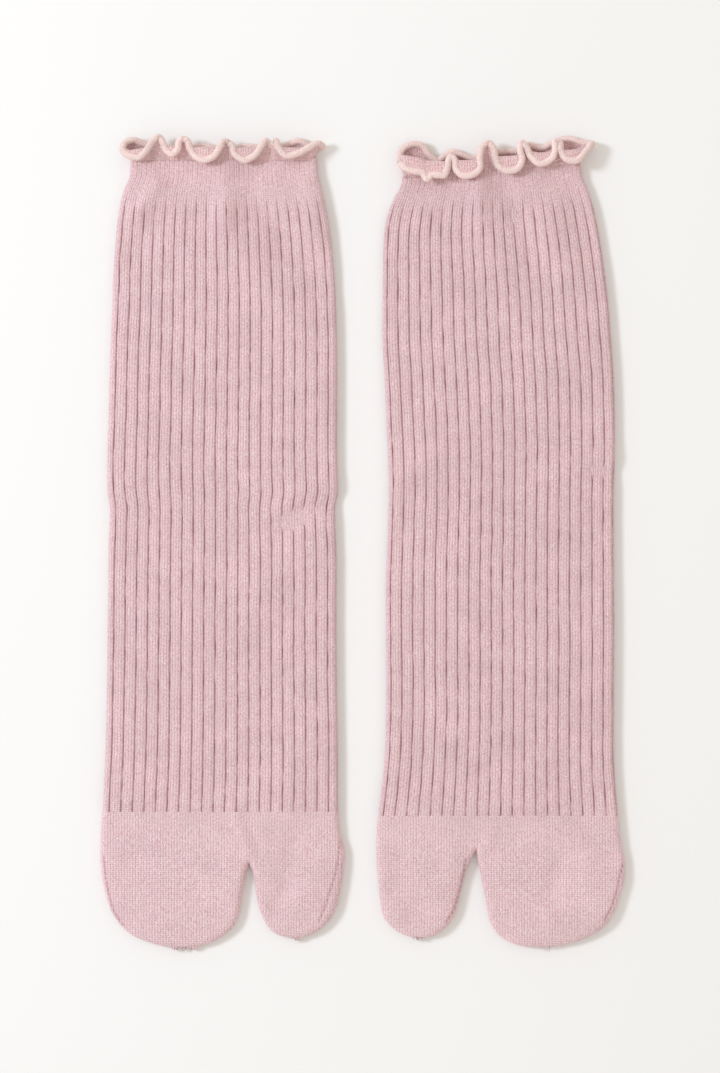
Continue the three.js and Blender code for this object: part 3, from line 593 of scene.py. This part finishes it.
def toePiece(sock, material):
    shape = toeShape
    slitLines = [curveThrough(line, np.linspace(0, 1, 40)).tolist() for line in sock["slitLines"]]
    crease = curveThrough(sock["crease"], np.linspace(0, 1, shape["creaseRows"] + 1))
    crotchY = crease[-1, 1]
    slow = np.linspace(0, 1, shape["pocketRows"] + 1)[1:]
    rowsShare = np.sin(slow * np.pi / 2) ** 1.0
    rowsShare = 0.5 * slow + 0.5 * rowsShare
    outlines, grids = [], []
    for outer, inner, columns, rightSide in (
        ("wideOuter", "wideInner", "wideColumns", sock["place"] > 0),
        ("bigToeOuter", "bigToeInner", "bigToeColumns", sock["place"] < 0),
    ):
        outerLine = curveThrough(sock[outer], np.linspace(0, 1, 500))
        cut = np.searchsorted(-outerLine[:, 1], -crotchY)
        upperX = np.interp(-crease[:, 1], -outerLine[: cut + 2, 1], outerLine[: cut + 2, 0])
        upper = np.stack([upperX, crease[:, 1]], 1)
        lower = curveThrough(outerLine[cut::12].tolist() + [outerLine[-1].tolist()], rowsShare)
        outerRows = np.concatenate([upper, lower])
        innerLow = curveThrough(sock[inner], rowsShare)
        innerRows = np.concatenate([crease, innerLow])
        outlines += [outerLine[::8].tolist() + [outerLine[-1].tolist()],
                     curveThrough(sock[inner], np.linspace(0, 1, 60)).tolist()]
        left, right = (innerRows, outerRows) if rightSide else (outerRows, innerRows)
        i = np.linspace(0, 1, shape[columns] + 1)
        u = 0.35 * i + 0.65 * (1 - np.cos(np.pi * i)) / 2
        grids.append(left[:, None, :] * (1 - u)[None, :, None] + right[:, None, :] * u[None, :, None])
    points, faces, grooveShade = [], [], []
    for grid in grids:
        x, y = grid[..., 0], grid[..., 1]
        fromSlit, run = alongLines(x, y, slitLines)
        slit = np.exp(-((fromSlit / shape["slitWidth"]) ** 2))
        slit *= 0.3 + 0.7 * (0.5 + 0.5 * np.cos(2 * np.pi * run / shape["slitPitch"])) ** 0.7
        d = np.minimum.reduce([outlineDistance(x, y, o) for o in outlines])
        near = 1 - np.clip(d / shape["edgeRound"], 0, 1)
        full = np.sqrt(np.clip(1 - near**2, 0, 1))
        puff = shape["swell"] * (1 - np.exp(-d / 6.0)) * np.clip((sock["toeLine"] - y) / 10, 0, 1)
        lift = foldHeight(sock["folds"], x, y)
        half = layHeight / 2
        for upperSide in (True, False):
            sunk = shape["slitDepth"] * slit * full
            z = half + (half + lift + puff) * full - sunk if upperSide else half - half * full + sunk
            # painted shade: the slit mask also darkens the colour along the slit lines
            grooveShade.append(slit.ravel())
            base = sum(len(p) for p in points)
            points.append(np.stack([x, y, z], -1).reshape(-1, 3))
            rows, cols = x.shape
            for r in range(rows - 1):
                for c in range(cols - 1):
                    a = base + r * cols + c
                    quad = (a, a + cols, a + cols + 1, a + 1)
                    faces.append(quad if upperSide else quad[::-1])
    points = np.concatenate(points)
    under = points[:, 2] < layHeight / 2
    uvs = np.stack([(points[:, 0] + 45) / wale, -points[:, 1] / course], 1)
    uvs[under, 0] += 200
    points[:, 0] += sock["place"]
    points[:, 1] += alongShift
    piece = meshPiece(sock["name"] + "Toe", points, faces, uvs, np.concatenate(grooveShade), material)
    import bmesh
    bm = bmesh.new()
    bm.from_mesh(piece.data)
    bmesh.ops.remove_doubles(bm, verts=bm.verts, dist=2e-6)
    bmesh.ops.dissolve_degenerate(bm, edges=bm.edges, dist=1e-7)
    bm.to_mesh(piece.data)
    bm.free()
    wall = piece.modifiers.new("wall", "SOLIDIFY")
    wall.thickness = shellWall * mm
    wall.offset = -1
    applyAll(piece)
    crispEdges(piece)
    return piece


# ---------- the frill and its rolled edge ----------

frillShape = {
    "steps": 420,
    "across": 12,
    "thickness": 0.9,
    "bead": 1.32,
    "beadSides": 10,
    "stitch": 0.56,
    "stitchRelief": 0.10,
}


def frillLines(sock, steps):
    front = np.array(sock["frill"])
    back = np.array(sock["frillBack"])
    frontHeight, backHeight = layHeight - 0.5, 0.5
    mouth = np.array(sock["cuff"])[0]

    def lineOf(rows, height):
        foot = np.stack([rows[:, 0], mouth[0] - 1.0 + mouth[3] * rows[:, 0],
                         np.full(len(rows), height)], 1)
        return foot, rows[:, 1:4], rows[:, 4:7]

    frontFoot, frontCrest, frontEdge = lineOf(front, frontHeight)
    backFoot, backCrest, backEdge = lineOf(back, backHeight)
    edges = np.concatenate([frontEdge, backEdge])
    gaps = np.linalg.norm(np.roll(edges, -1, 0) - edges, axis=1)
    knots = np.concatenate([[0], np.cumsum(gaps)])
    where = np.linspace(0, knots[-1], steps, endpoint=False)

    def around(values):
        wrapped = np.concatenate([values[-2:], values, values[:3]])
        extended = np.concatenate([knots[-3:-1] - knots[-1], knots, knots[1:3] + knots[-1]])
        return np.stack([cubicThrough(extended, wrapped[:, c], where) for c in range(3)], 1)

    return (around(np.concatenate([frontFoot, backFoot])),
            around(np.concatenate([frontCrest, backCrest])), around(edges), knots[-1])


def frillPieces(sock, clothMaterial, edgeMaterial):
    shape = frillShape
    steps = shape["steps"]
    foot, crest, edge, run = frillLines(sock, steps)
    t = np.linspace(0, 1, shape["across"] + 1)
    # a curve through foot, crest and edge
    bend = 2 * crest - 0.5 * (foot + edge)
    path = ((1 - t) ** 2)[None, :, None] * foot[:, None] + (2 * t * (1 - t))[None, :, None] * bend[:, None] \
        + (t**2)[None, :, None] * edge[:, None]
    points = path.reshape(-1, 3).copy()
    points[:, 2] = np.maximum(points[:, 2], 0.5)
    cols = shape["across"] + 1
    faces = []
    for k in range(steps):
        a, b = k * cols, ((k + 1) % steps) * cols
        faces += [(a + i, b + i, b + i + 1, a + i + 1) for i in range(cols - 1)]
    uvs = np.stack([np.repeat(np.arange(steps), cols) * run / steps / wale,
                    np.tile(t * 8.0 / course, steps)], 1)
    points[:, 0] += sock["place"]
    points[:, 1] += alongShift
    cloth = meshPiece(sock["name"] + "Frill", points, faces, uvs, np.zeros(len(points)), clothMaterial)
    wall = cloth.modifiers.new("wall", "SOLIDIFY")
    wall.thickness = shape["thickness"] * mm
    wall.offset = 0
    applyAll(cloth)

    fine = int(run / shape["stitch"]) * 4
    _, crestFine, edgeFine, _ = frillLines(sock, fine)
    along = np.roll(edgeFine, -1, 0) - np.roll(edgeFine, 1, 0)
    along /= np.linalg.norm(along, axis=1, keepdims=True)
    out = edgeFine - crestFine
    out -= (out * along).sum(1, keepdims=True) * along
    out /= np.linalg.norm(out, axis=1, keepdims=True)
    side = np.cross(along, out)
    phase = np.arange(fine) % 4
    swell = np.where(phase == 0, -1.0, np.where(phase == 2, 1.0, 0.4)) * shape["stitchRelief"]
    sides = shape["beadSides"]
    rings = []
    for j in range(sides):
        angle = 2 * np.pi * j / sides
        radius = (shape["bead"] + swell)[:, None]
        rings.append(edgeFine + radius * (math.cos(angle) * out + math.sin(angle) * side))
    points = np.stack(rings, 1).reshape(-1, 3)
    points[:, 2] = np.maximum(points[:, 2], 0.02)
    faces = []
    for k in range(fine):
        a, b = k * sides, ((k + 1) % fine) * sides
        faces += [(a + i, a + (i + 1) % sides, b + (i + 1) % sides, b + i) for i in range(sides)]
    uvs = np.stack([np.repeat(np.arange(fine) / 4.0, sides), np.tile(np.arange(sides) / sides, fine)], 1)
    points[:, 0] += sock["place"]
    points[:, 1] += alongShift
    bead = meshPiece(sock["name"] + "RolledEdge", points, faces, uvs, np.zeros(len(points)), edgeMaterial)
    return cloth, bead


# ---------- materials ----------

knitLook = {
    "base": (0.86, 0.60, 0.625, 1),
    "light": (0.97, 0.80, 0.80, 1),
    "dark": (0.70, 0.42, 0.45, 1),
    # painted shade: the next colour and its share are a dark rose mixed into the sunk purl wales and toe
    # slits, where shade falls
    "groove": (0.42, 0.17, 0.19, 1),
    "grooveShadeShare": 0.6,
}


def newMaterial(name):
    material = bpy.data.materials.new(name)
    material.use_nodes = True
    return material, material.node_tree, material.node_tree.nodes["Principled BSDF"]


def knitMaterial(name, look, stitchDepth):
    material, tree, shader = newMaterial(name)
    nodes, links = tree.nodes, tree.links
    uv = nodes.new("ShaderNodeUVMap")
    uv.uv_map = "knit"
    split = nodes.new("ShaderNodeSeparateXYZ")
    links.new(uv.outputs[0], split.inputs[0])

    def maths(operation, a, b=None):
        node = nodes.new("ShaderNodeMath")
        node.operation = operation
        for socket, value in zip(node.inputs, (a, b)):
            if value is None:
                continue
            if isinstance(value, (int, float)):
                socket.default_value = value
            else:
                links.new(value, socket)
        return node.outputs[0]

    # each wale is a column of Vs: two slanted legs that meet in its middle
    across = maths("ABSOLUTE", maths("SUBTRACT", maths("FRACT", split.outputs[0]), 0.5))
    slant = maths("ADD", split.outputs[1], maths("MULTIPLY", across, 1.1))
    leg = maths("SINE", maths("MULTIPLY", slant, 2 * math.pi))
    valley = maths("MULTIPLY", maths("POWER", maths("MULTIPLY", across, 2.0), 3.0), 1.4)
    stitch = maths("SUBTRACT", maths("MULTIPLY", leg, 0.5), valley)

    coords = nodes.new("ShaderNodeTexCoord")
    fleck = nodes.new("ShaderNodeTexNoise")
    stretch = nodes.new("ShaderNodeMapping")
    stretch.inputs["Scale"].default_value = (1.0, 0.55, 1.0)
    links.new(coords.outputs["Object"], stretch.inputs["Vector"])
    links.new(stretch.outputs[0], fleck.inputs["Vector"])
    fleck.inputs["Scale"].default_value = 2400.0
    fleck.inputs["Detail"].default_value = 2.0
    fleck.inputs["Roughness"].default_value = 0.7
    ramp = nodes.new("ShaderNodeValToRGB")
    ramp.color_ramp.elements[0].position = 0.30
    ramp.color_ramp.elements[0].color = look["dark"]
    ramp.color_ramp.elements[1].position = 0.70
    ramp.color_ramp.elements[1].color = look["light"]
    middle = ramp.color_ramp.elements.new(0.5)
    middle.color = look["base"]
    links.new(fleck.outputs["Fac"], ramp.inputs[0])

    cloud = nodes.new("ShaderNodeTexNoise")
    links.new(coords.outputs["Object"], cloud.inputs["Vector"])
    cloud.inputs["Scale"].default_value = 90.0
    tone = nodes.new("ShaderNodeMapRange")
    tone.inputs["From Min"].default_value = 0.3
    tone.inputs["From Max"].default_value = 0.7
    tone.inputs["To Min"].default_value = 0.95
    tone.inputs["To Max"].default_value = 1.05
    links.new(cloud.outputs["Fac"], tone.inputs["Value"])
    shade = nodes.new("ShaderNodeVectorMath")
    shade.operation = "SCALE"
    links.new(ramp.outputs[0], shade.inputs[0])
    links.new(tone.outputs[0], shade.inputs["Scale"])
    # painted shade: where the groove attribute is high, a dark rose is mixed into the base colour
    sunk = nodes.new("ShaderNodeAttribute")
    sunk.attribute_name = "groove"
    paintedGrooveShade = nodes.new("ShaderNodeMix")
    paintedGrooveShade.data_type = "RGBA"
    links.new(maths("MULTIPLY", sunk.outputs["Fac"], look["grooveShadeShare"]), paintedGrooveShade.inputs["Factor"])
    links.new(shade.outputs[0], paintedGrooveShade.inputs["A"])
    paintedGrooveShade.inputs["B"].default_value = look["groove"]
    links.new(paintedGrooveShade.outputs["Result"], shader.inputs["Base Color"])

    bump = nodes.new("ShaderNodeBump")
    bump.inputs["Distance"].default_value = stitchDepth
    bump.inputs["Strength"].default_value = 0.8
    links.new(stitch, bump.inputs["Height"])
    links.new(bump.outputs[0], shader.inputs["Normal"])
    shader.inputs["Roughness"].default_value = 0.92
    shader.inputs["Sheen Weight"].default_value = 0.25
    shader.inputs["Sheen Roughness"].default_value = 0.5
    shader.inputs["Specular IOR Level"].default_value = 0.2
    return material


def floorMaterial():
    material, tree, shader = newMaterial("paleFloor")
    shader.inputs["Base Color"].default_value = (0.88, 0.875, 0.86, 1)
    shader.inputs["Roughness"].default_value = 0.9
    shader.inputs["Specular IOR Level"].default_value = 0.1
    return material


print("materials")
ribKnit = knitMaterial("ribKnit", knitLook, 0.00025)
plainKnit = knitMaterial("plainKnit", dict(knitLook, base=(0.88, 0.62, 0.645, 1)), 0.00025)
cuffKnit = knitMaterial("cuffKnit", knitLook, 0.0002)
# painted shade: the frill is a darker copy of the knit, for the shade on its outer face
frillKnitPaintedShade = knitMaterial("frillKnitPaintedShade", dict(knitLook, base=(0.80, 0.52, 0.52, 1)), 0.0002)
rolledEdge = knitMaterial(
    "rolledEdge",
    dict(knitLook, base=(0.90, 0.70, 0.66, 1), light=(0.97, 0.83, 0.79, 1), dark=(0.78, 0.55, 0.52, 1)),
    0.0001,
)

# ---------- build ----------

for sock in socks:
    name, node = sock["name"], sock["node"]
    print("leg of", name)
    leg = ribTube(sock, sock["leg"], legShape, name + "Leg", ribKnit, 12)
    print("toe of", name)
    toe = toePiece(sock, plainKnit)
    print("cuff and frill of", name)
    cuff = ribTube(sock, sock["cuff"], cuffShape, name + "Cuff", cuffKnit, 0)
    frill, edge = frillPieces(sock, frillKnitPaintedShade, rolledEdge)
    for piece, cadNode, slotName in (
        (leg, "_leg", "rib_knit"),
        (toe, "_toe", "plain_knit"),
        (cuff, "_cuff", "cuff_knit"),
        (frill, "_ruffle", "rolled_edge"),
    ):
        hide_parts(node + cadNode)
        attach(piece, "root")
    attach(edge, "root")

# ---------- floor, lights and camera ----------

print("floor, lights and camera")
view = {
    "middle": (-0.96, 2.2),
    "height": 1200.0,
    "tall": 413.1,
    "sensor": 36.0,
}
bpy.ops.mesh.primitive_plane_add(size=6, location=(0, 0, 0))
floor = bpy.context.object
floor.name = "floor"
floor.data.materials.append(floorMaterial())


def areaLight(name, place, target, size, power, colour):
    light = bpy.data.lights.new(name, "AREA")
    light.shape = "DISK"
    light.size = size
    light.energy = power
    light.color = colour
    lamp = bpy.data.objects.new(name, light)
    bpy.context.scene.collection.objects.link(lamp)
    lamp.location = place
    from mathutils import Vector
    lamp.rotation_euler = (Vector(target) - Vector(place)).to_track_quat("-Z", "Y").to_euler()


areaLight("key", (-1.25, 0.35, 1.15), (0, 0, 0), 0.4, 14, (0.88, 0.98, 1.10))

world = bpy.data.worlds.new("studio")
world.use_nodes = True
world.node_tree.nodes["Background"].inputs[0].default_value = (1.0, 0.95, 0.90, 1)
world.node_tree.nodes["Background"].inputs[1].default_value = 0.80
bpy.context.scene.world = world

camera = bpy.data.cameras.new("fromAbove")
camera.sensor_width = view["sensor"]
camera.lens = view["sensor"] * (view["height"] - layHeight) / view["tall"]
cameraObject = bpy.data.objects.new("fromAbove", camera)
bpy.context.scene.collection.objects.link(cameraObject)
cameraObject.location = (view["middle"][0] * mm, view["middle"][1] * mm, view["height"] * mm)
bpy.context.scene.camera = cameraObject
bpy.context.scene.view_settings.view_transform = "Standard"
